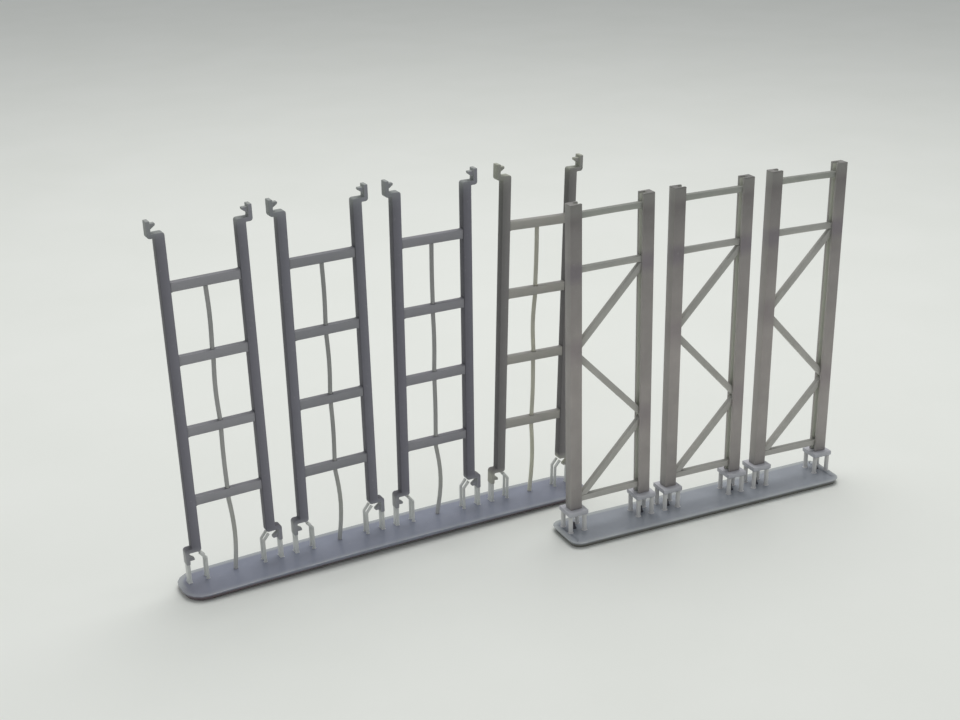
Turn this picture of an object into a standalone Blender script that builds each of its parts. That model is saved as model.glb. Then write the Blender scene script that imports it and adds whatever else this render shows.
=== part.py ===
"""Model pallet-rack kit as it comes off a resin printer: four beam levels and three braced
upright frames, standing on two print rafts by their print supports. Metres, +Z up, with the
origin at the centre of the base. X runs along the left raft and Y points to the back."""

import math

import bmesh
import bpy
from mathutils import Matrix, Vector

MM = 0.001

# ---- Driving dimensions ----

# Gaps between pieces that touch on the real print
CONTACT_GAP = 0.02 * MM
BRACE_CLEARANCE = 0.03 * MM
ROD_CLEARANCE = 0.03 * MM

# Print rafts: the top face overhangs the base all round, for a scraper to get under
RAFT_THICKNESS = 0.85 * MM
RAFT_UNDERCUT = 0.45 * MM
LEFT_RAFT_WIDTH = 7.55 * MM
LEFT_RAFT_SETBACK = 1.08 * MM
LEFT_RAFT_OVERHANG = 8.2 * MM
LEFT_RAFT_CORNER = 2.9 * MM
LEFT_RAFT_BOW = 0.5 * MM
RIGHT_RAFT_WIDTH = 7.65 * MM
RIGHT_RAFT_SETBACK = 0.83 * MM
RIGHT_RAFT_LEFT_OVERHANG = 7.95 * MM
RIGHT_RAFT_RIGHT_OVERHANG = 6.95 * MM
RIGHT_RAFT_CORNER = 1.7 * MM
RIGHT_RAFT_X = 51.35 * MM
RIGHT_RAFT_Y = -13.2 * MM
RIGHT_RAFT_TURN = -3.2

# Beam levels: two rails joined by pallet bars, with a hooked bracket at each rail end
LEVEL_PITCH = 15.35 * MM
LEVEL_LEANS = (-1.2, -0.6, 0.3, 1.9)
LEVEL_STANDOFF = 4.38 * MM
RAIL_SPACING = 10.5 * MM
RAIL_LENGTH = 44.3 * MM
RAIL_WIDTH = 1.3 * MM
RAIL_DEPTH = 1.25 * MM
RAIL_CORNER = 0.35 * MM
PALLET_BARS = 4
PALLET_BAR_PITCH = 9.92 * MM
PALLET_BAR_HEIGHT = 1.32 * MM
PALLET_BAR_DEPTH = 0.9 * MM
PALLET_BAR_EDGE = 0.16 * MM

# Brackets: a shelf turns out of the rail end and a hook plate rises past it
SHELF_THICKNESS = 0.6 * MM
HOOK_OFFSET = 0.38 * MM
HOOK_THICKNESS = 0.55 * MM
HOOK_REACH = 1.65 * MM
HOOK_BEND = 0.4 * MM
HOOK_EDGE = 0.1 * MM
BARB_ROOT = 0.45 * MM
BARB_NECK = 0.96 * MM
BARB_TOP = 1.27 * MM
BARB_LENGTH = 0.72 * MM
BARB_DEPTH = 0.7 * MM

# Print supports of the beam levels
STRAP_WIDTH = 0.47 * MM
STRAP_DEPTH = 0.9 * MM
PRONG_RADIUS = 0.22 * MM
PRONG_SPREAD = 0.94 * MM
PRONG_INSET = 0.5 * MM
PRONG_ELBOW = 3.2 * MM
PRONG_LANDING = 0.28 * MM
ROD_RADIUS = 0.31 * MM
ROD_BOWS = (
    (0.38, -0.06, -0.16, 0.12),
    (0.48, 0.09, 0.14, 0.08),
    (0.62, 0.05, 0.10, -0.04),
    (0.30, 0.08, -0.22, 0.04),
)

# Upright frames: two channel posts, open towards each other, laced by bars and diagonals
FRAME_PITCH = 15.49 * MM
FRAME_LEANS = (-0.8, 0.0, 0.77)
FRAME_TILTS = (-0.3, 0.1, 0.7)
POST_SPACING = 11.05 * MM
POST_LENGTH = 44.55 * MM
POST_WIDTH = 1.78 * MM
POST_DEPTH = 1.55 * MM
POST_WEB = 0.45 * MM
POST_FLANGE = 0.38 * MM
BRACE_HEIGHT = 0.88 * MM
TOP_BAR_DROP = 1.7 * MM
MIDDLE_BAR_DROP = 9.22 * MM
BOTTOM_BAR_RISE = 1.35 * MM
LACING_PANELS = 3
LACING_TOP_DROP = 0.08 * MM
LACING_FOOT_DROP = 0.9 * MM

# Foot plates and the four stub legs under each
FOOT_SIZE = 3.05 * MM
FOOT_THICKNESS = 0.75 * MM
FOOT_TAPER = 0.15 * MM
FOOT_STANDOFF = 2.55 * MM
STUB_RADIUS = 0.33 * MM
STUB_SPACING = 2.2 * MM

# Mesh fineness
ARC_STEPS = 4
ROD_SIDES_STEP = 2
STUB_SIDES = 10
BORE_SIDES = 16
BAY_STEPS = 8
BOW_SLICES = 14

# ---- Sizes that follow from these ----

EMBED = RAFT_THICKNESS / 2
BRACE_DEPTH = POST_DEPTH - 2 * (POST_FLANGE + BRACE_CLEARANCE)
WEB_TO_WEB = POST_SPACING + POST_WIDTH - 2 * POST_WEB
LEFT_RAFT_LENGTH = (len(LEVEL_LEANS) - 1) * LEVEL_PITCH + 2 * LEFT_RAFT_OVERHANG
RIGHT_RAFT_SPAN = (len(FRAME_LEANS) - 1) * FRAME_PITCH
RIGHT_RAFT_LENGTH = RIGHT_RAFT_LEFT_OVERHANG + RIGHT_RAFT_SPAN + RIGHT_RAFT_RIGHT_OVERHANG
POST_FOOT = FOOT_STANDOFF + FOOT_THICKNESS + 2 * CONTACT_GAP

# ---- Finishes ----

FINISHES = {
    "raft_resin": ((0.22, 0.235, 0.27), 0.5),
    "rail_resin": ((0.12, 0.12, 0.13), 0.5),
    "bar_resin": ((0.2, 0.2, 0.2), 0.5),
    "post_resin": ((0.15, 0.145, 0.14), 0.5),
    "brace_resin": ((0.24, 0.245, 0.23), 0.5),
    "foot_resin": ((0.2, 0.205, 0.2), 0.5),
    "rod_resin": ((0.26, 0.27, 0.25), 0.5),
}


def finish(name):
    """The material of that name, made on first use."""
    found = bpy.data.materials.get(name)
    if found:
        return found
    colour, roughness = FINISHES[name]
    material = bpy.data.materials.new(name)
    material.use_nodes = True
    shader = material.node_tree.nodes["Principled BSDF"]
    shader.inputs["Base Color"].default_value = (*colour, 1.0)
    shader.inputs["Roughness"].default_value = roughness
    shader.inputs["Metallic"].default_value = 0.0
    return material


# ---- Mesh tools ----


def rounded_outline(corners):
    """Points of a closed outline, with each corner (u, v, radius) turned into an arc."""
    points = []
    for index, (u, v, radius) in enumerate(corners):
        corner = Vector((u, v))
        if radius == 0:
            points.append(corner)
            continue
        before = (Vector(corners[index - 1][:2]) - corner).normalized()
        after = (Vector(corners[(index + 1) % len(corners)][:2]) - corner).normalized()
        half_angle = before.angle(after) / 2
        centre = corner + (before + after).normalized() * (radius / math.sin(half_angle))
        start = corner + before * (radius / math.tan(half_angle)) - centre
        turn = start.angle_signed(corner + after * (radius / math.tan(half_angle)) - centre)
        for step in range(ARC_STEPS + 1):
            points.append(centre + Matrix.Rotation(-turn * step / ARC_STEPS, 2) @ start)
    return points


def mesh_from(bm, name):
    """Closes a bmesh off into a mesh whose faces point out."""
    bmesh.ops.recalc_face_normals(bm, faces=bm.faces)
    mesh = bpy.data.meshes.new(name)
    bm.to_mesh(mesh)
    bm.free()
    return mesh


def prism(name, outline, direction):
    """Mesh of a flat outline of 3-D points, pushed along a direction."""
    bm = bmesh.new()
    face = bm.faces.new([bm.verts.new(point) for point in outline])
    pushed = bmesh.ops.extrude_face_region(bm, geom=[face])
    moved = [item for item in pushed["geom"] if isinstance(item, bmesh.types.BMVert)]
    bmesh.ops.translate(bm, verts=moved, vec=direction)
    return mesh_from(bm, name)


def block(bm, size, centre):
    """Adds a box of that size to a bmesh."""
    place = Matrix.Translation(centre) @ Matrix.Diagonal((*size, 1.0))
    return bmesh.ops.create_cube(bm, size=1.0, matrix=place)["verts"]


def pillar(bm, radius, low, high, sides, centre):
    """Adds an upright cylinder between two heights to a bmesh."""
    place = Matrix.Translation((centre[0], centre[1], (low + high) / 2))
    bmesh.ops.create_cone(bm, cap_ends=True, segments=sides, radius1=radius, radius2=radius,
                          depth=high - low, matrix=place)


def rod(name, points, radius):
    """Mesh of a round rod with flat ends that follows a line of points."""
    curve = bpy.data.curves.new(name, "CURVE")
    curve.dimensions = "3D"
    curve.bevel_depth = radius
    curve.bevel_resolution = ROD_SIDES_STEP
    curve.use_fill_caps = True
    spline = curve.splines.new("POLY")
    spline.points.add(len(points) - 1)
    for place, point in zip(spline.points, points):
        place.co = (*point, 1.0)
    guide = bpy.data.objects.new(name, curve)
    mesh = evaluated(guide)
    bpy.data.objects.remove(guide)
    bm = bmesh.new()
    bm.from_mesh(mesh)
    bmesh.ops.remove_doubles(bm, verts=bm.verts, dist=radius / 100)
    return mesh_from(bm, name)


def evaluated(item):
    """Mesh of an object with its curve or modifiers worked out."""
    bpy.context.collection.objects.link(item)
    graph = bpy.context.evaluated_depsgraph_get()
    return bpy.data.meshes.new_from_object(item.evaluated_get(graph), depsgraph=graph)


def combine(name, body, tool, operation):
    """Mesh of one closed mesh joined to another, or cut by it."""
    cutter = bpy.data.objects.new(name + "_tool", tool)
    bpy.context.collection.objects.link(cutter)
    work = bpy.data.objects.new(name + "_work", body)
    boolean = work.modifiers.new("combine", "BOOLEAN")
    boolean.operation = operation
    boolean.object = cutter
    mesh = evaluated(work)
    mesh.name = name
    bpy.data.objects.remove(work)
    bpy.data.objects.remove(cutter)
    return mesh


def gather(name, parts):
    """One mesh that holds several (mesh, matrix) parts as separate shells."""
    bm = bmesh.new()
    for mesh, matrix in parts:
        copy = mesh.copy()
        copy.transform(matrix)
        bm.from_mesh(copy)
        bpy.data.meshes.remove(copy)
    return mesh_from(bm, name)


def add_piece(name, mesh, parent, finish_name, location=(0, 0, 0), turn=0.0):
    """Places a mesh as a named piece in its parent's frame."""
    if not mesh.materials:
        mesh.materials.append(finish(finish_name))
    piece = bpy.data.objects.new(name, mesh)
    bpy.context.collection.objects.link(piece)
    piece.parent = parent
    piece.location = location
    piece.rotation_euler.z = turn
    return piece


def add_frame(name, parent, location, lean=0.0, tilt=0.0, turn=0.0):
    """An empty that carries a group of pieces, its top leaning right or tilting back, or
    turned about Z, all in degrees."""
    empty = bpy.data.objects.new(name, None)
    bpy.context.collection.objects.link(empty)
    empty.parent = parent
    empty.location = location
    empty.rotation_euler = (math.radians(-tilt), math.radians(lean), math.radians(turn))
    return empty


def local_matrix(empty):
    """Where an empty stands in its parent's frame."""
    return Matrix.Translation(empty.location) @ empty.rotation_euler.to_matrix().to_4x4()


# ---- Beam levels ----


def rail_mesh():
    """Rail along Z from its lower end, with a hooked bracket at each end on its +X side."""
    face = RAIL_WIDTH / 2
    plate = face + HOOK_OFFSET
    back = plate + HOOK_THICKNESS
    end = RAIL_LENGTH
    outline = rounded_outline([
        (-face, 0.0, RAIL_CORNER),
        (plate, 0.0, HOOK_EDGE),
        (plate, -HOOK_REACH, HOOK_EDGE),
        (back, -HOOK_REACH, HOOK_EDGE),
        (back, SHELF_THICKNESS, HOOK_BEND),
        (face, SHELF_THICKNESS, HOOK_EDGE),
        (face, end - SHELF_THICKNESS, HOOK_EDGE),
        (back, end - SHELF_THICKNESS, HOOK_BEND),
        (back, end + HOOK_REACH, HOOK_EDGE),
        (plate, end + HOOK_REACH, HOOK_EDGE),
        (plate, end, HOOK_EDGE),
        (-face, end, RAIL_CORNER),
    ])
    profile = [(u, -RAIL_DEPTH / 2, v) for u, v in outline]
    body = prism("rail", profile, (0.0, RAIL_DEPTH, 0.0))
    barb = prism("barb", barb_outline(plate), (0.0, BARB_DEPTH, 0.0))
    upper = Matrix.Translation((0.0, 0.0, end))
    lower = Matrix.Diagonal((1.0, 1.0, -1.0, 1.0))
    barbs = gather("barbs", [(barb, upper), (barb, lower)])
    return combine("rail", body, barbs, "UNION")


def barb_outline(plate):
    """Locking barb on the hook plate's inner face, measured up from the rail's end."""
    root = plate + HOOK_THICKNESS / 2
    tip = plate - BARB_LENGTH
    slope = (BARB_NECK - BARB_ROOT) / BARB_LENGTH
    sunk = BARB_ROOT - slope * (root - plate)
    y = -BARB_DEPTH / 2
    return [(root, y, sunk), (root, y, BARB_TOP), (tip, y, BARB_TOP), (tip, y, BARB_NECK)]


def pallet_bar_mesh(bored):
    """Pallet bar along X with eased long edges, bored through where the support rod passes."""
    length = RAIL_SPACING - RAIL_WIDTH - 2 * CONTACT_GAP
    bm = bmesh.new()
    block(bm, (length, PALLET_BAR_DEPTH, PALLET_BAR_HEIGHT), (0, 0, 0))
    long_edges = [edge for edge in bm.edges
                  if abs(edge.verts[0].co.x - edge.verts[1].co.x) > length / 2]
    bmesh.ops.bevel(bm, geom=long_edges, offset=PALLET_BAR_EDGE, affect="EDGES", segments=2,
                    profile=0.5, material=-1)
    bar = mesh_from(bm, "pallet_bar")
    if not bored:
        return bar
    drill = bmesh.new()
    bore = (ROD_RADIUS + ROD_CLEARANCE) / math.cos(math.pi / BORE_SIDES)
    pillar(drill, bore, -PALLET_BAR_HEIGHT, PALLET_BAR_HEIGHT, BORE_SIDES, (0, 0))
    return combine("bored_pallet_bar", bar, mesh_from(drill, "drill"), "DIFFERENCE")


def pallet_bar_heights():
    """Heights of the pallet bars' centres over the raft, from the lowest up."""
    middle = LEVEL_STANDOFF + RAIL_LENGTH / 2
    lowest = middle - PALLET_BAR_PITCH * (PALLET_BARS - 1) / 2
    return [lowest + PALLET_BAR_PITCH * index for index in range(PALLET_BARS)]


def support_rod_points(bows):
    """Support rod's line: straight through each bar, bowed sideways in each bay between."""
    points = [Vector((0.0, 0.0, CONTACT_GAP))]
    floor = CONTACT_GAP + ROD_RADIUS
    for height, bow in zip(pallet_bar_heights(), bows):
        ceiling = height - PALLET_BAR_HEIGHT / 2 - CONTACT_GAP
        for step in range(BAY_STEPS):
            share = step / BAY_STEPS
            sway = bow * MM * math.sin(math.pi * share)
            points.append(Vector((sway, 0.0, floor + (ceiling - ROD_RADIUS - floor) * share)))
        points.append(Vector((0.0, 0.0, ceiling - ROD_RADIUS)))
        points.append(Vector((0.0, 0.0, ceiling)))
        floor = height + PALLET_BAR_HEIGHT / 2 + ROD_RADIUS
    return points


def level_supports():
    """Straps under the hook plates and bent prongs under the rail ends of one beam level."""
    parts = []
    hook_centre = (RAIL_SPACING + RAIL_WIDTH + HOOK_THICKNESS) / 2 + HOOK_OFFSET
    strap_top = LEVEL_STANDOFF - HOOK_REACH - CONTACT_GAP
    inner_face = (RAIL_SPACING - RAIL_WIDTH) / 2
    prong_top = LEVEL_STANDOFF - CONTACT_GAP - PRONG_RADIUS
    for side in (-1, 1):
        bm = bmesh.new()
        block(bm, (STRAP_WIDTH, STRAP_DEPTH, strap_top + EMBED),
              (side * hook_centre, 0.0, (strap_top - EMBED) / 2))
        parts.append(mesh_from(bm, "strap"))
        for y in (-PRONG_SPREAD / 2, PRONG_SPREAD / 2):
            foot = side * (inner_face - PRONG_INSET)
            landing = side * (inner_face + PRONG_LANDING)
            parts.append(rod("prong", [(foot, y, -EMBED), (foot, y, PRONG_ELBOW),
                                       (landing, y, prong_top)], PRONG_RADIUS))
    return gather("level_supports", [(part, Matrix.Identity(4)) for part in parts])


# ---- Upright frames ----


def post_mesh():
    """Channel post, standing on its lower end, with its web on the +X side."""
    x = POST_WIDTH / 2
    y = POST_DEPTH / 2
    web = x - POST_WEB
    lip = y - POST_FLANGE
    plan = [(-x, -y), (x, -y), (x, y), (-x, y), (-x, lip), (web, lip), (web, -lip), (-x, -lip)]
    return prism("post", [(u, v, 0.0) for u, v in plan], (0.0, 0.0, POST_LENGTH))


def brace_bar_mesh():
    """Level brace bar that runs from web to web, inside the channels."""
    bm = bmesh.new()
    block(bm, (WEB_TO_WEB - 2 * CONTACT_GAP, BRACE_DEPTH, BRACE_HEIGHT), (0, 0, 0))
    return mesh_from(bm, "brace_bar")


def brace_bar_heights():
    """Heights of the top, middle and bottom brace bars' centres over the raft."""
    top = POST_FOOT + POST_LENGTH
    return top - TOP_BAR_DROP, top - MIDDLE_BAR_DROP, POST_FOOT + BOTTOM_BAR_RISE


def trim(bm, point, outward):
    """Cuts a bmesh by a plane, drops what lies outward of it and caps the cut."""
    everything = bm.verts[:] + bm.edges[:] + bm.faces[:]
    cut = bmesh.ops.bisect_plane(bm, geom=everything, plane_co=point, plane_no=outward,
                                 clear_outer=True)
    rim = [item for item in cut["geom_cut"] if isinstance(item, bmesh.types.BMEdge)]
    if rim:
        bmesh.ops.contextual_create(bm, geom=rim)


def diagonal_meshes():
    """The zig-zag of diagonals, from under the middle bar at the right post down."""
    _, middle, bottom = brace_bar_heights()
    start = middle - LACING_TOP_DROP
    drop = (start - (bottom - LACING_FOOT_DROP)) / LACING_PANELS
    slope = math.atan2(drop, POST_SPACING)
    half_height = BRACE_HEIGHT / 2 / math.cos(slope)
    reach = POST_SPACING / 2 - (half_height + CONTACT_GAP) / math.tan(slope)
    ceiling = middle - BRACE_HEIGHT / 2 - CONTACT_GAP
    floor = bottom + BRACE_HEIGHT / 2 + CONTACT_GAP
    meshes = []
    for panel in range(LACING_PANELS):
        side = 1 if panel % 2 == 0 else -1
        centre = Vector((0.0, 0.0, start - drop * (panel + 0.5)))
        bm = bmesh.new()
        verts = block(bm, (2 * POST_SPACING, BRACE_DEPTH, BRACE_HEIGHT), (0, 0, 0))
        bmesh.ops.rotate(bm, verts=verts, matrix=Matrix.Rotation(-side * slope, 3, "Y"))
        bmesh.ops.translate(bm, verts=verts, vec=centre)
        for end in (-1, 1):
            trim(bm, (end * reach, 0.0, 0.0), (end, 0.0, 0.0))
        trim(bm, (0.0, 0.0, ceiling), (0.0, 0.0, 1.0))
        trim(bm, (0.0, 0.0, floor), (0.0, 0.0, -1.0))
        meshes.append(mesh_from(bm, "diagonal"))
    return meshes


def foot_plate_mesh():
    """Square foot plate with its top at the origin and its lower edges tapered in."""
    bm = bmesh.new()
    half = FOOT_SIZE / 2
    levels = ((half, 0.0), (half, FOOT_TAPER - FOOT_THICKNESS),
              (half - FOOT_TAPER, -FOOT_THICKNESS))
    rings = []
    for reach, z in levels:
        corners = ((-reach, -reach), (reach, -reach), (reach, reach), (-reach, reach))
        verts = [bm.verts.new((x, y, z)) for x, y in corners]
        rings.append([bm.edges.new((verts[i], verts[(i + 1) % 4])) for i in range(4)])
    for upper, lower in zip(rings, rings[1:]):
        bmesh.ops.bridge_loops(bm, edges=upper + lower)
    for ring in (rings[0], rings[-1]):
        bmesh.ops.contextual_create(bm, geom=ring)
    return mesh_from(bm, "foot_plate")


def frame_supports():
    """Four stub legs under each of one frame's two foot plates."""
    bm = bmesh.new()
    for post_side in (-1, 1):
        for side in (-1, 1):
            for depth in (-1, 1):
                centre = (post_side * POST_SPACING / 2 + side * STUB_SPACING / 2,
                          depth * STUB_SPACING / 2)
                pillar(bm, STUB_RADIUS, -EMBED, FOOT_STANDOFF, STUB_SIDES, centre)
    return mesh_from(bm, "frame_supports")


# ---- Rafts ----


def raft_mesh(length, width, corner, first, setback):
    """Raft with its base on z = 0, its left end at x = first and its base edge undercut."""
    bm = bmesh.new()
    rims = []
    for inset, z in ((RAFT_UNDERCUT, 0.0), (0.0, RAFT_THICKNESS)):
        low_x = first + inset
        high_x = first + length - inset
        low_y = -setback - width / 2 + inset
        high_y = -setback + width / 2 - inset
        radius = corner - inset
        outline = rounded_outline([(low_x, low_y, radius), (high_x, low_y, radius),
                                   (high_x, high_y, radius), (low_x, high_y, radius)])
        verts = [bm.verts.new((x, y, z)) for x, y in outline]
        count = len(verts)
        rims.append([bm.edges.new((verts[i], verts[(i + 1) % count])) for i in range(count)])
    bmesh.ops.bridge_loops(bm, edges=rims[0] + rims[1])
    for rim in rims:
        bmesh.ops.contextual_create(bm, geom=rim)
    return mesh_from(bm, "raft")


def bow_height(x):
    """How far the left raft, curled along its length, lifts off the table at x."""
    middle = LEFT_RAFT_LENGTH / 2 - LEFT_RAFT_OVERHANG
    share = (x - middle) / (LEFT_RAFT_LENGTH / 2 - RAFT_UNDERCUT)
    return LEFT_RAFT_BOW * (1.0 - share * share)


def bowed(mesh):
    """The left raft's flat mesh, sliced across and curled so that it rests on its ends."""
    bm = bmesh.new()
    bm.from_mesh(mesh)
    for cut in range(1, BOW_SLICES):
        x = LEFT_RAFT_LENGTH * cut / BOW_SLICES - LEFT_RAFT_OVERHANG
        everything = bm.verts[:] + bm.edges[:] + bm.faces[:]
        bmesh.ops.bisect_plane(bm, geom=everything, plane_co=(x, 0.0, 0.0),
                               plane_no=(1.0, 0.0, 0.0))
    for vert in bm.verts:
        vert.co.z += bow_height(vert.co.x)
    return mesh_from(bm, "bowed_raft")


# ---- Assembly ----


def build_beam_levels(kit):
    """The left raft with its supports, and the four beam levels that stand on it."""
    raft_frame = add_frame("left_raft_frame", kit, (0, 0, 0))
    rail = rail_mesh()
    bored_bar = pallet_bar_mesh(bored=True)
    top_bar = pallet_bar_mesh(bored=False)
    supports = level_supports()
    placed_supports = []
    for index, (lean, bows) in enumerate(zip(LEVEL_LEANS, ROD_BOWS)):
        x = index * LEVEL_PITCH
        level = f"level{index + 1}"
        foot = add_frame(level + "_frame", raft_frame,
                         (x, 0.0, RAFT_THICKNESS + bow_height(x)), lean=lean)
        placed_supports.append((supports, local_matrix(foot)))
        for side, turn, word in ((-1, math.pi, "left"), (1, 0.0, "right")):
            add_piece(f"{level}_{word}_rail", rail, foot, "rail_resin",
                      (side * RAIL_SPACING / 2, 0.0, LEVEL_STANDOFF), turn)
        for number, height in enumerate(pallet_bar_heights(), 1):
            bar = top_bar if number == PALLET_BARS else bored_bar
            add_piece(f"{level}_pallet_bar_{number}", bar, foot, "bar_resin", (0, 0, height))
        add_piece(f"{level}_support_rod", rod("support_rod", support_rod_points(bows), ROD_RADIUS),
                  foot, "rod_resin")
    flat = raft_mesh(LEFT_RAFT_LENGTH, LEFT_RAFT_WIDTH, LEFT_RAFT_CORNER,
                     -LEFT_RAFT_OVERHANG, LEFT_RAFT_SETBACK)
    raft = combine("left_raft", bowed(flat), gather("supports", placed_supports), "UNION")
    add_piece("left_raft", raft, raft_frame, "raft_resin")


def build_upright_frames(kit):
    """The right raft with its supports, and the three upright frames that stand on it."""
    raft_frame = add_frame("right_raft_frame", kit, (RIGHT_RAFT_X, RIGHT_RAFT_Y, 0.0),
                           turn=RIGHT_RAFT_TURN)
    post = post_mesh()
    bar = brace_bar_mesh()
    plate = foot_plate_mesh()
    diagonals = diagonal_meshes()
    supports = frame_supports()
    placed_supports = []
    for index, (lean, tilt) in enumerate(zip(FRAME_LEANS, FRAME_TILTS)):
        upright = f"upright{index + 1}"
        foot = add_frame(upright + "_frame", raft_frame,
                         (index * FRAME_PITCH, 0.0, RAFT_THICKNESS), lean=lean, tilt=tilt)
        placed_supports.append((supports, local_matrix(foot)))
        for side, turn, word in ((-1, math.pi, "left"), (1, 0.0, "right")):
            x = side * POST_SPACING / 2
            add_piece(f"{upright}_{word}_post", post, foot, "post_resin",
                      (x, 0.0, POST_FOOT), turn)
            add_piece(f"{upright}_{word}_foot_plate", plate, foot, "foot_resin",
                      (x, 0.0, POST_FOOT - CONTACT_GAP))
        for word, height in zip(("top", "middle", "bottom"), brace_bar_heights()):
            add_piece(f"{upright}_{word}_bar", bar, foot, "brace_resin", (0, 0, height))
        for number, diagonal in enumerate(diagonals, 1):
            add_piece(f"{upright}_diagonal_{number}", diagonal, foot, "brace_resin")
    flat = raft_mesh(RIGHT_RAFT_LENGTH, RIGHT_RAFT_WIDTH, RIGHT_RAFT_CORNER,
                     -RIGHT_RAFT_LEFT_OVERHANG, RIGHT_RAFT_SETBACK)
    raft = combine("right_raft", flat, gather("supports", placed_supports), "UNION")
    add_piece("right_raft", raft, raft_frame, "raft_resin")


def centre_on_base(kit):
    """Moves the kit so that the middle of its base is at the origin."""
    bpy.context.view_layer.update()
    corners = [item.matrix_world @ vert.co for item in bpy.data.objects
               if item.type == "MESH" for vert in item.data.vertices]
    low = Vector([min(corner[axis] for corner in corners) for axis in range(3)])
    high = Vector([max(corner[axis] for corner in corners) for axis in range(3)])
    kit.location = (-(low.x + high.x) / 2, -(low.y + high.y) / 2, -low.z)


for item in list(bpy.data.objects):
    bpy.data.objects.remove(item)

kit_frame = add_frame("kit_frame", None, (0, 0, 0))
build_beam_levels(kit_frame)
build_upright_frames(kit_frame)
centre_on_base(kit_frame)
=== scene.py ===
import math

import bmesh
import bpy
from mathutils import Matrix, Vector
from mathutils.bvhtree import BVHTree


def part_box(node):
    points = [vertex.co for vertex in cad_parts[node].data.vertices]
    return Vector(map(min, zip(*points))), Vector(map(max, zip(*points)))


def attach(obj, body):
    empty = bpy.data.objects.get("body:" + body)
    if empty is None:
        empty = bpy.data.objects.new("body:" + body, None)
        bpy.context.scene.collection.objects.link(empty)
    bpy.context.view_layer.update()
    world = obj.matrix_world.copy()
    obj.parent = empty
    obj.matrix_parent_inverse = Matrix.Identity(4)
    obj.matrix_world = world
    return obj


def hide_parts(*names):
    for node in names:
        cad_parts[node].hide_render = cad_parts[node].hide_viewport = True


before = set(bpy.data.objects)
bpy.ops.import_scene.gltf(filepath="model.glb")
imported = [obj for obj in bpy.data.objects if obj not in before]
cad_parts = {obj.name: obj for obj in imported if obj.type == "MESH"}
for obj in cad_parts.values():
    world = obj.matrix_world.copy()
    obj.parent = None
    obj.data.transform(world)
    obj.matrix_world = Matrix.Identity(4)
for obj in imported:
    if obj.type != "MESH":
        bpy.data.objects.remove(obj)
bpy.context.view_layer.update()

SENSOR = 36  # mm
LENS = 57.005625  # mm
AIM_NUDGE = 0.01875 / LENS  # turns the aim a hair up and to the left
eye = Vector((-0.096936, -0.166522, 0.10369))
right = Vector((0.877245, -0.479825, -0.014491))
ahead = Vector((0.440369, 0.816392, -0.373603))
up = right.cross(ahead)
ahead = (ahead + (up - right) * AIM_NUDGE).normalized()
right = ahead.cross(up).normalized()
up = right.cross(ahead)
camera_data = bpy.data.cameras.new("camera")
camera_data.sensor_width = SENSOR
camera_data.lens = LENS
camera_data.clip_start = 0.005
camera = bpy.data.objects.new("camera", camera_data)
bpy.context.scene.collection.objects.link(camera)
axes = Matrix((right, up, -ahead)).transposed().to_4x4()
camera.matrix_world = Matrix.Translation(eye) @ axes
bpy.context.scene.camera = camera

# One broad soft lamp hangs behind it, a little to the right, and a white room fills the
# shadows.
bpy.context.scene.view_settings.view_transform = "Standard"

table_mesh = bpy.data.meshes.new("table")
bm = bmesh.new()
bmesh.ops.create_grid(bm, x_segments=1, y_segments=1, size=3.0)
bm.to_mesh(table_mesh)
bm.free()
table = bpy.data.objects.new("table", table_mesh)
bpy.context.scene.collection.objects.link(table)
table_paint = bpy.data.materials.new("table_paint")
table_paint.use_nodes = True
nodes, links = table_paint.node_tree.nodes, table_paint.node_tree.links
shader = nodes["Principled BSDF"]
shader.inputs["Roughness"].default_value = 0.7
shader.inputs["Specular IOR Level"].default_value = 0.25
coords = nodes.new("ShaderNodeTexCoord")
cloud = nodes.new("ShaderNodeTexNoise")
cloud.inputs["Scale"].default_value = 35.0
cloud.inputs["Detail"].default_value = 3.0
links.new(coords.outputs["Object"], cloud.inputs["Vector"])
tint = nodes.new("ShaderNodeValToRGB")
tint.color_ramp.elements[0].position = 0.3
tint.color_ramp.elements[0].color = (0.800, 0.822, 0.782, 1)
tint.color_ramp.elements[1].position = 0.7
tint.color_ramp.elements[1].color = (0.822, 0.842, 0.806, 1)
links.new(cloud.outputs["Fac"], tint.inputs["Fac"])
links.new(tint.outputs["Color"], shader.inputs["Base Color"])
table_mesh.materials.append(table_paint)

room = bpy.data.worlds.new("room")
bpy.context.scene.world = room
room.use_nodes = True
room.node_tree.nodes["Background"].inputs["Color"].default_value = (0.97, 0.985, 1.0, 1)
room.node_tree.nodes["Background"].inputs["Strength"].default_value = 0.46

lamp_data = bpy.data.lights.new("lamp", "AREA")
lamp_data.shape = "DISK"
lamp_data.size = 0.32
lamp_data.energy = 1.02
lamp_data.color = (1.0, 0.99, 0.97)
lamp = bpy.data.objects.new("lamp", lamp_data)
bpy.context.scene.collection.objects.link(lamp)
lamp.location = (0.066, 0.102, 0.397)
lamp.rotation_euler = (-0.377, 0.407, 0.0)

# ---- Left raft plate ----
# The thin plate of cured grey resin that the ladder levels were printed on. It lifted a
# little at the middle as it cured, and its overhanging edge has a pale rim of painted light, paler
# on the far side.
MM = 0.001
LEFT_CUT = 1.9 * MM  # between the plate's top and the lowest joint of its supports
RIM_BAND = 0.80 * MM
PRINT_TOP = 0.052  # the height at which every list of tones ends
LEVEL_FACE = 0.97  # a face this level or more belongs to the plate's top


def cad_copy(name):
    """A merged copy of a frame node's mesh, with its flat faces whole again."""
    bm = bmesh.new()
    bm.from_mesh(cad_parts[name].data)
    bmesh.ops.remove_doubles(bm, verts=bm.verts, dist=2e-6)
    bmesh.ops.dissolve_limit(bm, angle_limit=math.radians(0.4), use_dissolve_boundaries=False,
                             verts=bm.verts, edges=bm.edges, delimit=set())
    return bm


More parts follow.
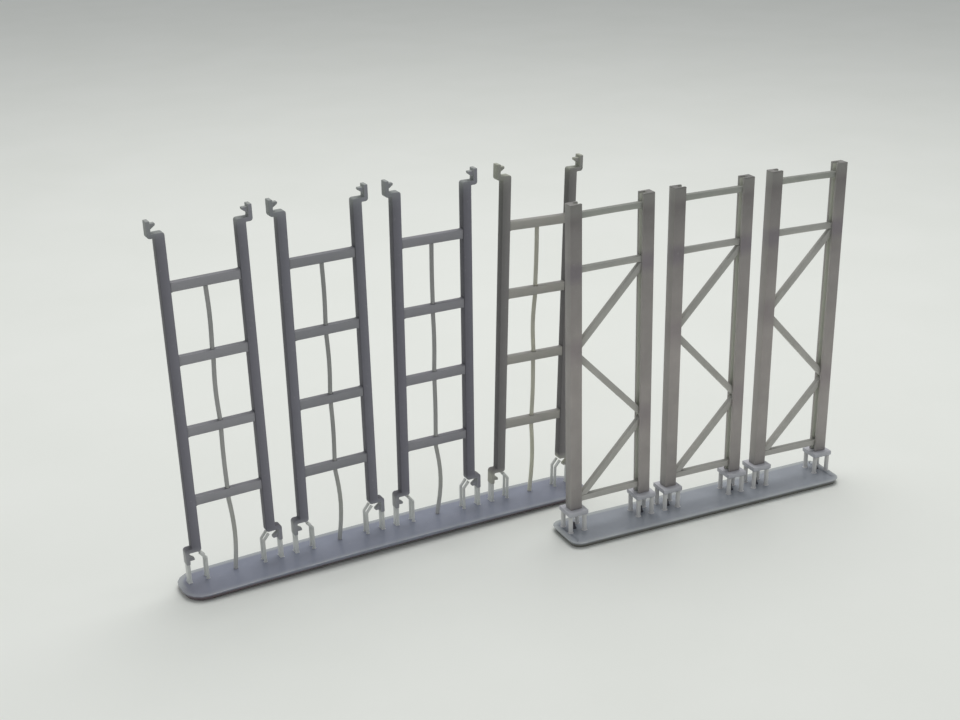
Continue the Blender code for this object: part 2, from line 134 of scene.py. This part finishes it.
def cut_across(bm, at, facing, dist=1e-7, clear_inner=False):
    """Cuts a mesh along a plane, and can clear away what lies behind it."""
    bmesh.ops.bisect_plane(bm, geom=bm.verts[:] + bm.edges[:] + bm.faces[:], dist=dist,
                           plane_co=at, plane_no=facing, clear_inner=clear_inner)


def soften(bm, width, segments=2, over=28.0):
    """Rounds every edge that turns by more than some degrees, as liquid resin leaves it."""
    edges = [e for e in bm.edges
             if e.is_manifold and e.calc_face_angle(0.0) > math.radians(over)]
    bmesh.ops.bevel(bm, geom=edges, offset=width, offset_type="OFFSET", segments=segments,
                    profile=0.5, affect="EDGES", clamp_overlap=True, material=-1)


def set_painted_shading(bm, painted_shading):
    """Stores how much painted light and shade, mixed in as a second tone, each point gets."""
    layer = bm.verts.layers.float.new("painted_shading")
    bm.normal_update()
    for vert in bm.verts:
        vert[layer] = painted_shading(vert)


def finish_piece(bm, name, body, resin, nodes=(), smooth=40.0):
    """Makes the finished mesh an object of its own that moves with its body."""
    mesh = bpy.data.meshes.new(name)
    bm.to_mesh(mesh)
    bm.free()
    mesh.shade_smooth()
    mesh.set_sharp_from_angle(angle=math.radians(smooth))
    mesh.materials.append(resin)
    piece = bpy.data.objects.new(name, mesh)
    bpy.context.scene.collection.objects.link(piece)
    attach(piece, body)
    if nodes:
        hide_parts(*nodes)
    return piece


def mapped(nodes, links, value, span, out=(0.0, 1.0)):
    """The result of a node that maps one span of values onto another."""
    node = nodes.new("ShaderNodeMapRange")
    for word, number in zip(("From Min", "From Max", "To Min", "To Max"), (*span, *out)):
        node.inputs[word].default_value = number
    links.new(value, node.inputs["Value"])
    return node.outputs["Result"]


def cured_resin(name, tones, shading_tone=(0.40, 0.42, 0.37), roughness=0.42, glow=0.10, mottle=0.10,
                ribs=0.35, shine=0.5):
    """Grey resin whose tone runs over a list of (height, colour), mottled and finely ribbed, with
    a second tone of painted light and shade mixed in.
    """
    mat = bpy.data.materials.new(name)
    mat.use_nodes = True
    nodes, links = mat.node_tree.nodes, mat.node_tree.links
    shader = nodes["Principled BSDF"]
    coords = nodes.new("ShaderNodeTexCoord")
    split = nodes.new("ShaderNodeSeparateXYZ")
    links.new(coords.outputs["Object"], split.inputs["Vector"])
    # tone by height
    height_share = mapped(nodes, links, split.outputs["Z"], (0.0, PRINT_TOP))
    ramp = nodes.new("ShaderNodeValToRGB")
    stops = ramp.color_ramp.elements
    while len(stops) < len(tones):
        stops.new(1.0)
    for stop, (height, colour) in zip(stops, tones):
        stop.position = min(1.0, height / PRINT_TOP)
        stop.color = (*colour, 1)
    links.new(height_share, ramp.inputs["Fac"])
    # broad clouds of uneven curing
    cloud = nodes.new("ShaderNodeTexNoise")
    cloud.inputs["Scale"].default_value = 260.0
    cloud.inputs["Detail"].default_value = 4.0
    cloud.inputs["Roughness"].default_value = 0.55
    links.new(coords.outputs["Object"], cloud.inputs["Vector"])
    shade = mapped(nodes, links, cloud.outputs["Fac"], (0.3, 0.7), (1.0 - mottle, 1.0 + mottle))
    toned = nodes.new("ShaderNodeVectorMath")
    toned.operation = "SCALE"
    links.new(ramp.outputs["Color"], toned.inputs[0])
    links.new(shade, toned.inputs["Scale"])
    # painted light and shade: a second tone mixed in point by point
    painted_shading = nodes.new("ShaderNodeAttribute")
    painted_shading.attribute_name = "painted_shading"
    pale = nodes.new("ShaderNodeMix")
    pale.data_type = "RGBA"
    links.new(painted_shading.outputs["Fac"], pale.inputs["Factor"])
    links.new(toned.outputs["Vector"], pale.inputs["A"])
    pale.inputs["B"].default_value = (*shading_tone, 1)
    # dust-fine pale specks
    speck = nodes.new("ShaderNodeTexNoise")
    speck.inputs["Scale"].default_value = 2600.0
    speck.inputs["Detail"].default_value = 2.0
    links.new(coords.outputs["Object"], speck.inputs["Vector"])
    dots = mapped(nodes, links, speck.outputs["Fac"], (0.66, 0.76), (0.0, 0.18))
    dusted = nodes.new("ShaderNodeMix")
    dusted.data_type = "RGBA"
    links.new(dots, dusted.inputs["Factor"])
    links.new(pale.outputs["Result"], dusted.inputs["A"])
    dusted.inputs["B"].default_value = (0.45, 0.46, 0.45, 1)
    links.new(dusted.outputs["Result"], shader.inputs["Base Color"])
    # satin skin, a little wetter in places
    satin = mapped(nodes, links, cloud.outputs["Fac"], (0.3, 0.7),
                   (roughness - 0.07, roughness + 0.09))
    links.new(satin, shader.inputs["Roughness"])
    # print layers and fine grain
    layers = nodes.new("ShaderNodeTexWave")
    layers.wave_type = "BANDS"
    layers.bands_direction = "Z"
    layers.inputs["Scale"].default_value = 1570.0
    layers.inputs["Distortion"].default_value = 0.6
    layers.inputs["Detail"].default_value = 1.0
    links.new(coords.outputs["Object"], layers.inputs["Vector"])
    relief = nodes.new("ShaderNodeMath")
    relief.operation = "MULTIPLY_ADD"
    relief.inputs[1].default_value = ribs
    links.new(layers.outputs["Fac"], relief.inputs[0])
    links.new(speck.outputs["Fac"], relief.inputs[2])
    bump = nodes.new("ShaderNodeBump")
    bump.inputs["Strength"].default_value = 0.22
    bump.inputs["Distance"].default_value = 0.00003
    links.new(relief.outputs["Value"], bump.inputs["Height"])
    links.new(bump.outputs["Normal"], shader.inputs["Normal"])
    shader.inputs["IOR"].default_value = 1.5
    shader.inputs["Specular IOR Level"].default_value = shine
    shader.inputs["Subsurface Weight"].default_value = glow
    shader.inputs["Subsurface Radius"].default_value = (1.0, 1.0, 0.9)
    shader.inputs["Subsurface Scale"].default_value = 0.0006
    return mat


def raft_plate(node, cut, far_glow, near_glow):
    """The plate alone: its supports taken off, its top laid again and given a pale rim of painted
    light, paler on the far side.
    """
    bm = cad_copy(node)
    layer = bm.verts.layers.float.new("painted_shading")
    bmesh.ops.delete(bm, geom=[v for v in bm.verts if v.co.z > cut], context="VERTS")
    bm.normal_update()
    bmesh.ops.delete(bm, geom=[f for f in bm.faces if f.normal.z > 0.9], context="FACES")
    loose = [v for v in bm.verts if not v.link_faces]
    bmesh.ops.delete(bm, geom=loose, context="VERTS")
    rim = [e for e in bm.edges if e.is_boundary]
    stations = sorted({round(v.co.x, 5) for e in rim for v in e.verts})
    bmesh.ops.contextual_create(bm, geom=rim)
    for x in stations[1:-1]:
        cut_across(bm, (x, 0, 0), (1, 0, 0), dist=1e-5)
    bm.normal_update()
    soften(bm, 0.07 * MM, 2)
    bm.normal_update()
    middle = sum(v.co.y for v in bm.verts) / len(bm.verts)
    top = [f for f in bm.faces if f.normal.z > LEVEL_FACE]
    # Painted light: the rim band is paler on the far side than on the near side.
    for vert in {v for f in top for v in f.verts}:
        vert[layer] = far_glow if vert.co.y > middle else near_glow
    for width, share in ((RIM_BAND * 0.6, 0.8), (RIM_BAND * 0.5, 0.0)):
        bmesh.ops.inset_region(bm, faces=top, thickness=width, use_even_offset=True,
                               use_boundary=True)
        for vert in {v for f in top for v in f.verts}:
            far = vert.co.y > middle
            vert[layer] = (far_glow if far else near_glow * 0.5) * share
    bmesh.ops.triangulate(bm, faces=[f for f in bm.faces if len(f.verts) > 4])
    return bm


# The plate's low flank is painted dark and brownish: painted shade under its overhang.
left_raft_tones = [(0.0, (0.115, 0.090, 0.100)), (0.0006, (0.150, 0.122, 0.135)),
                   (0.0009, (0.247, 0.266, 0.332)), (0.0016, (0.252, 0.273, 0.340))]
left_raft_resin = cured_resin("left_raft_resin", left_raft_tones, shading_tone=(0.50, 0.53, 0.50),
                              roughness=0.18, mottle=0.06, ribs=0.0)
bm = raft_plate("left_raft", LEFT_CUT, 0.55, 0.30)
left_raft = finish_piece(bm, "left_raft_plate", "left_raft", left_raft_resin,
                         ["left_raft"])

# ---- Straps and prongs under the ladders ----
# Under each hook a flat strap and under each rail end a pair of bent round prongs hold
# the print off its raft. They are thin, so the resin looks pale and greenish.
strap_tones = [(0.0, (0.60, 0.63, 0.61)), (0.0020, (0.67, 0.69, 0.665)),
               (0.0052, (0.62, 0.635, 0.615))]
strap_resin = cured_resin("strap_resin", strap_tones, roughness=0.4, glow=0.35)


SUPPORT_REACH = 7.4 * MM  # along the raft from a ladder's rod to its last support


def islands(bm):
    """The separate shells of a mesh, each a list of its verts."""
    seen = set()
    for first in list(bm.verts):
        if first in seen:
            continue
        seen.add(first)
        shell, queue = [first], [first]
        while queue:
            for edge in queue.pop().link_edges:
                for vert in edge.verts:
                    if vert not in seen:
                        seen.add(vert)
                        shell.append(vert)
                        queue.append(vert)
        yield shell


def standing_supports(node, plate, cut_height, low_x, high_x, width, segments=2):
    """A raft's own supports between two places along it, each foot spread onto the plate."""
    bm = cad_copy(node)
    cut_across(bm, (0, 0, cut_height), (0, 0, 1), clear_inner=True)
    away = [v for shell in islands(bm)
            if not low_x < sum(v.co.x for v in shell) / len(shell) < high_x for v in shell]
    bmesh.ops.delete(bm, geom=away, context="VERTS")
    soften(bm, width, segments)
    surface = BVHTree.FromPolygons([v.co for v in plate.data.vertices],
                                   [p.vertices for p in plate.data.polygons])
    for shell in list(islands(bm)):
        own = set(shell)
        rim = [e for e in bm.edges if e.is_boundary and e.verts[0] in own]
        foot = list({v.index: v for e in rim for v in e.verts}.values())
        centre = sum((v.co for v in foot), Vector()) / len(foot)
        hit = surface.ray_cast(centre + Vector((0, 0, 0.001)), Vector((0, 0, -1)))[0]
        for grown, drop in ((1.03, 0.45), (1.10, 0.8), (1.22, 1.05)):
            out = bmesh.ops.extrude_edge_only(bm, edges=rim)["geom"]
            rim = [e for e in out if isinstance(e, bmesh.types.BMEdge)]
            ring = [v for v in out if isinstance(v, bmesh.types.BMVert)]
            middle = sum((v.co for v in ring), Vector()) / len(ring)
            base = centre.lerp(hit, drop)
            for v in ring:
                offset = (v.co - middle) * grown
                v.co = Vector((base.x + offset.x, base.y + offset.y, base.z))
        bmesh.ops.contextual_create(bm, geom=rim)
    bmesh.ops.remove_doubles(bm, verts=bm.verts, dist=1e-7)
    bmesh.ops.recalc_face_normals(bm, faces=bm.faces)
    return bm


for index in range(1, 5):
    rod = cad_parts[f"level{index}_support_rod"].data.vertices
    middle_x = min((v.co.z, v.co.x) for v in rod)[1]
    bm = standing_supports("left_raft", left_raft, 1.42 * MM,
                           middle_x - SUPPORT_REACH, middle_x + SUPPORT_REACH, 0.06 * MM)
    finish_piece(bm, f"level{index}_straps_and_prongs", "left_raft", strap_resin)

# ---- Ladder rails ----
# The load beams of the rack, printed standing on end as ladder sides. Each is a solid
# square bar with eased corners and a bent, barbed hook plate at both ends. The hooks
# are paler, the top end is painted paler as light from above, and the front and back of a bar are
# painted paler than its flanks, more towards its right edge: painted light.
RAIL_EASE = 0.14 * MM
LADDER_TINTS = ((1.0, 0.99, 1.04), (1.0, 1.0, 1.05), (0.97, 0.96, 1.02), (1.22, 1.19, 1.08))


def rail_tones(foot):
    """Tone up a rail: pale hook below its foot, dark bar, and the top hook painted pale again as
    light falling in from above.
    """
    return [(0.0, (0.46, 0.47, 0.45)), (foot - 0.0002, (0.385, 0.395, 0.375)),
            (foot + 0.0006, (0.102, 0.101, 0.112)), (0.025, (0.105, 0.103, 0.114)),
            (0.0400, (0.100, 0.100, 0.108)), (0.0476, (0.105, 0.107, 0.110)),
            (0.0488, (0.145, 0.151, 0.150)), (0.0497, (0.260, 0.278, 0.258)),
            (0.0520, (0.325, 0.345, 0.315))]


def tinted_colour(colour, tint):
    """A colour multiplied by a tint."""
    return tuple(c * t for c, t in zip(colour, tint))


def tinted(tones, tint):
    """The same tones, each multiplied by a tint."""
    return [(height, tinted_colour(colour, tint)) for height, colour in tones]


def bar_foot(node):
    """The height at which a rail's straight bar begins, above its lower hook."""
    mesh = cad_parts[node].data
    spans = [[mesh.vertices[k].co for k in edge.vertices] for edge in mesh.edges]
    return min(min(a.z, b.z) for a, b in spans if (a - b).length > 0.030)


def across(bm, longest):
    """How far to the right each point lies over a long bar's section, from 0 to 1."""
    long_edges = [e for e in bm.edges if e.calc_length() > longest]
    start, end = sorted((v.co.copy() for v in long_edges[0].verts), key=lambda co: co.z)
    axis = (end - start).normalized()

    def offset(co):
        return (co - start - axis * (co - start).dot(axis)).x

    offsets = [offset(v.co) for e in long_edges for v in e.verts]
    low, high = min(offsets), max(offsets)
    return lambda co: max(0.0, min(1.0, (offset(co) - low) / (high - low)))


for index in range(1, 5):
    tint = LADDER_TINTS[index - 1]
    foot = bar_foot(f"level{index}_left_rail")
    resin = cured_resin(f"rail_resin_{index}", tinted(rail_tones(foot), tint),
                        shading_tone=tinted_colour((0.300, 0.298, 0.328), tint),
                        roughness=0.45, glow=0.06, mottle=0.12, shine=0.15)
    for side in ("left", "right"):
        name = f"level{index}_{side}_rail"
        bm = cad_copy(name)
        share = across(bm, 0.030)
        soften(bm, RAIL_EASE, 3)
        # Painted light: the front and back faces are painted paler than the flanks, more so
        # towards the right edge.
        set_painted_shading(bm, lambda vert: vert.normal.y ** 2 * (0.36 + 0.36 * share(vert.co)))
        finish_piece(bm, name + "_skin", f"level_{index}", resin, [name])

# ---- Pallet bars ----
# Four bars across each ladder, printed with the rails. They are thinner than the rails
# and swell a little where they run into them.
BAR_EASE = 0.07 * MM
BAR_GAP = 0.03 * MM
BAR_LIFTS = (1.07, 0.94, 1.03, 1.22)  # how much paler each ladder's bars and rod are
bar_tones = [(0.0, (0.190, 0.190, 0.198)), (PRINT_TOP, (0.190, 0.191, 0.196))]


def thin_member_tint(index):
    """A ladder's own tint, lifted for its thin bars and rod."""
    return tuple(t * BAR_LIFTS[index - 1] for t in LADDER_TINTS[index - 1])


def run_into_neighbours(bm, gap, swell, reach):
    """Lengthens a bar by the gap at both ends and swells its last stretch."""
    xs = [v.co.x for v in bm.verts]
    ends = []
    for edge_x in (min(xs), max(xs)):
        verts = [v.co for v in bm.verts if abs(v.co.x - edge_x) < 0.00025]
        ends.append(sum(verts, Vector()) / len(verts))
    axis = (ends[1] - ends[0]).normalized()
    for end, way in ((ends[0], -1), (ends[1], 1)):
        cut_across(bm, end - axis * way * reach, axis)
    for end, way in ((ends[0], -1), (ends[1], 1)):
        for v in bm.verts:
            along = (v.co - end).dot(axis) * way
            if along > -reach * 0.5:
                off = (v.co - end) - axis * (v.co - end).dot(axis)
                v.co = v.co + off * (swell - 1) + axis * way * gap
    return ends, axis


for index in range(1, 5):
    tint = thin_member_tint(index)
    bar_resin = cured_resin(f"bar_resin_{index}", tinted(bar_tones, tint),
                            shading_tone=tinted_colour((0.385, 0.386, 0.392), tint),
                            roughness=0.42, glow=0.10, mottle=0.14, shine=0.3)
    for number in range(1, 5):
        name = f"level{index}_pallet_bar_{number}"
        bm = cad_copy(name)
        soften(bm, BAR_EASE, 2)
        run_into_neighbours(bm, BAR_GAP, 1.1, 0.28 * MM)
        # Painted light: the front and back faces are painted paler than the tops, a little less
        # where they face down.
        set_painted_shading(bm, lambda vert: 0.7 * vert.normal.y ** 2 * (1.0 - 0.3 * (vert.normal.z < 0)))
        finish_piece(bm, name + "_skin", f"level_{index}", bar_resin, [name])

# ---- Support rods ----
# A slim round rod runs up the middle of each ladder from the raft and holds its bars
# while they print. It wavers between the bars and is the palest part of the ladder.
rod_tones = [(0.0, (0.50, 0.51, 0.48)), (0.006, (0.43, 0.44, 0.39)), (0.015, (0.355, 0.36, 0.335)),
             (PRINT_TOP, (0.305, 0.31, 0.295))]
for index in range(1, 5):
    tint = thin_member_tint(index)
    rod_resin = cured_resin(f"rod_resin_{index}", tinted(rod_tones, tint),
                            roughness=0.42, glow=0.22, mottle=0.08)
    name = f"level{index}_support_rod"
    bm = cad_copy(name)
    finish_piece(bm, name + "_skin", f"level_{index}", rod_resin, [name], smooth=60)

# ---- Right raft plate ----
# The upright frames stand on a raft of their own, flat, with tighter corners and the
# same overhanging edge.
RIGHT_CUT = 1.0 * MM
# The plate's low flank is painted darker: painted shade under its overhang.
right_raft_tones = [(0.0, (0.13, 0.13, 0.115)), (0.0005, (0.16, 0.16, 0.145)),
                    (0.0008, (0.307, 0.330, 0.369)), (0.0016, (0.307, 0.330, 0.369))]
right_raft_resin = cured_resin("right_raft_resin", right_raft_tones, shading_tone=(0.54, 0.57, 0.54),
                               roughness=0.18, mottle=0.06, ribs=0.0)
bm = raft_plate("right_raft", RIGHT_CUT, 0.50, 0.45)
right_raft = finish_piece(bm, "right_raft_plate", "right_raft", right_raft_resin,
                          ["right_raft"])

# ---- Stub legs ----
# Four short round legs under each foot plate, spread a little where they grow out of
# the raft. They are thin, so the resin looks pale.
leg_tones = [(0.0, (0.65, 0.65, 0.65)), (0.0035, (0.63, 0.63, 0.615)),
             (PRINT_TOP, (0.63, 0.63, 0.615))]
leg_resin = cured_resin("leg_resin", leg_tones, roughness=0.42, glow=0.2)
for index in range(1, 4):
    low = min(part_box(f"upright{index}_left_foot_plate")[0].x,
              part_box(f"upright{index}_right_foot_plate")[0].x)
    high = max(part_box(f"upright{index}_left_foot_plate")[1].x,
               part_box(f"upright{index}_right_foot_plate")[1].x)
    bm = standing_supports("right_raft", right_raft, 1.05 * MM, low - 0.0002, high + 0.0002,
                           0.05 * MM)
    finish_piece(bm, f"upright{index}_stub_legs", "right_raft", leg_resin)

# ---- Painted reflections ----
# A dark glossy cone stands between each set of stub legs, drawn in a little at a waist: a
# painted reflection of the dark foot plate and post above it in the glossy raft.
WAIST = 0.4 * MM  # the part of a cone that is drawn in, as tall as this
REFLECTION_HEIGHT = 0.95 * MM
REFLECTION_MIDDLE = 1.30 * MM
painted_reflection_resin = cured_resin("painted_reflection_resin", [(0.0, (0.045, 0.045, 0.060)),
                                        (PRINT_TOP, (0.05, 0.05, 0.065))],
                         roughness=0.2, glow=0.0, mottle=0.2, ribs=0.0)
for index in range(1, 4):
    for side in ("left", "right"):
        low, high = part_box(f"upright{index}_{side}_foot_plate")
        bm = bmesh.new()
        bmesh.ops.create_cone(bm, cap_ends=True, segments=20, radius1=0.42 * MM,
                              radius2=0.16 * MM, depth=REFLECTION_HEIGHT)
        for height in (-WAIST / 2, WAIST / 2):
            cut_across(bm, (0, 0, height), (0, 0, 1))
        for v in bm.verts:
            if abs(v.co.z) < WAIST:
                v.co.x *= 0.8
                v.co.y *= 0.8
        soften(bm, 0.06 * MM, 2)
        centre = (low + high) / 2
        bmesh.ops.translate(bm, verts=bm.verts, vec=(centre.x, centre.y, REFLECTION_MIDDLE))
        finish_piece(bm, f"upright{index}_{side}_resin_pool", "right_raft",
                     painted_reflection_resin, smooth=80)

# ---- Upright posts ----
# The rack's corner posts, open channels printed on end. Their corners are crisp, their
# tops are cut square, and the resin is a warmer grey than the rails.
POST_EASE = 0.06 * MM
CHANNEL_FILL = 0.45 * MM  # resin left standing in the bottom of the channel
CAP = 0.4 * MM  # below a post's top, where the channel's painted light stops


def post_tones(index, side):
    """Tone up one post: darker where bars run in, paler in its last millimetre as painted light
    from above, and its top face painted dark as painted shade.
    """
    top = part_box(f"upright{index}_{side}_post")[1].z
    joint = "diagonal_1" if side == "left" else "diagonal_2"
    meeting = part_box(f"upright{index}_{joint}")[0].z + 0.0006
    crossing = sum(corner.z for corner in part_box(f"upright{index}_middle_bar")) / 2
    dark = (0.190, 0.174, 0.186)
    tones = [(0.0, (0.20, 0.195, 0.19)), (0.0044, (0.225, 0.215, 0.208)),
            (0.0062, (0.300, 0.285, 0.270)), (meeting - 0.0035, (0.320, 0.300, 0.284)),
            (meeting - 0.0006, (0.250, 0.228, 0.226)), (meeting + 0.0006, (0.250, 0.228, 0.226)),
            (meeting + 0.0020, (0.285, 0.268, 0.254)), (crossing - 0.0022, (0.245, 0.232, 0.222)),
            (crossing - 0.0008, dark), (crossing + 0.0004, dark),
            (crossing + 0.0016, (0.240, 0.228, 0.218)),
            (top - 0.0042, (0.200, 0.191, 0.184)), (top - 0.0024, (0.165, 0.155, 0.152)),
            (top - 0.0012, (0.205, 0.202, 0.190)), (top - 0.00012, (0.215, 0.214, 0.200)),
            (top - 0.00004, (0.120, 0.119, 0.112))]
    pale = 1.16 if side == "left" else 1.20
    return tinted(tones, (pale * 1.01, pale * 0.985, pale))


def hollow(vert):
    """Whether a point is on an inner corner of the open channel."""
    return any(e.is_manifold and e.calc_face_angle_signed(0.0) < -0.2 for e in vert.link_edges)


for index in range(1, 4):
    for side, inward in (("left", 1), ("right", -1)):
        name = f"upright{index}_{side}_post"
        resin = cured_resin(f"post_resin_{index}_{side}", post_tones(index, side),
                            shading_tone=(0.60, 0.61, 0.55), roughness=0.44, glow=0.12, mottle=0.10)
        bm = cad_copy(name)
        top = max(v.co.z for v in bm.verts)
        bm.normal_update()
        for v in [v for v in bm.verts if hollow(v)]:
            v.co.x += inward * CHANNEL_FILL
        soften(bm, POST_EASE, 2)
        cut_across(bm, (0, 0, top - CAP), (0, 0, 1))
        bm.verts.index_update()
        bm.normal_update()
        # Painted light: the inside of the open channel is painted pale against the shade in the
        # slot, and faces turned towards -x a little paler.
        channel = {v.index for f in bm.faces if abs(f.normal.z) < 0.5
                   and any(hollow(v) for v in f.verts) for v in f.verts
                   if v.co.z < top - CAP * 0.75}
        set_painted_shading(bm, lambda vert: 1.0 if vert.index in channel
                     else 0.2 * max(0.0, -vert.normal.x) ** 2)
        finish_piece(bm, name + "_skin", f"upright_{index}", resin, [name])

# ---- Cross bars and diagonals ----
# Three level bars and three diagonals brace each frame. The upper two bars arch a little
# underneath and thicken where they meet the posts.
BRACE_EASE = 0.06 * MM
BAR_ARCH = 0.07 * MM
ARCH_STEPS = 12
brace_tones = [(0.0, (0.51, 0.50, 0.47)), (0.02, (0.46, 0.45, 0.42)), (0.038, (0.44, 0.435, 0.41)),
               (0.046, (0.375, 0.385, 0.353)), (PRINT_TOP, (0.368, 0.378, 0.346))]
brace_resin = cured_resin("brace_resin", brace_tones, shading_tone=(0.18, 0.185, 0.167), roughness=0.42,
                          glow=0.15, mottle=0.08, shine=0.3)
for index in range(1, 4):
    for word in ("top_bar", "middle_bar", "bottom_bar", "diagonal_1", "diagonal_2", "diagonal_3"):
        name = f"upright{index}_{word}"
        bm = cad_copy(name)
        soften(bm, BRACE_EASE, 2)
        if word in ("top_bar", "middle_bar"):
            ends, axis = run_into_neighbours(bm, BAR_GAP, 1.2, 0.5 * MM)
            span = (ends[1] - ends[0]).length
            for step in range(1, ARCH_STEPS):
                cut_across(bm, ends[0].lerp(ends[1], step / ARCH_STEPS), axis)
            for v in bm.verts:
                share = (v.co - ends[0]).dot(axis) / span
                if 0 < share < 1:
                    if v.co.z < ends[0].lerp(ends[1], share).z:
                        v.co.z += BAR_ARCH * (1 - (2 * share - 1) ** 2)
        # Painted shade: faces turned upwards are painted darker.
        set_painted_shading(bm, lambda vert: 0.75 * max(0.0, vert.normal.z) ** 2)
        finish_piece(bm, name + "_skin", f"upright_{index}", brace_resin, [name])

# ---- Foot plates ----
# A square pad under each post, with its lower edges tapered in, where the print's
# supports take hold.
foot_tones = [(0.0, (0.50, 0.505, 0.54)), (PRINT_TOP, (0.50, 0.505, 0.54))]
foot_resin = cured_resin("foot_resin", foot_tones, roughness=0.42, glow=0.12)
for index in range(1, 4):
    for side in ("left", "right"):
        name = f"upright{index}_{side}_foot_plate"
        bm = cad_copy(name)
        soften(bm, 0.06 * MM, 2)
        finish_piece(bm, name + "_skin", f"upright_{index}", foot_resin, [name])
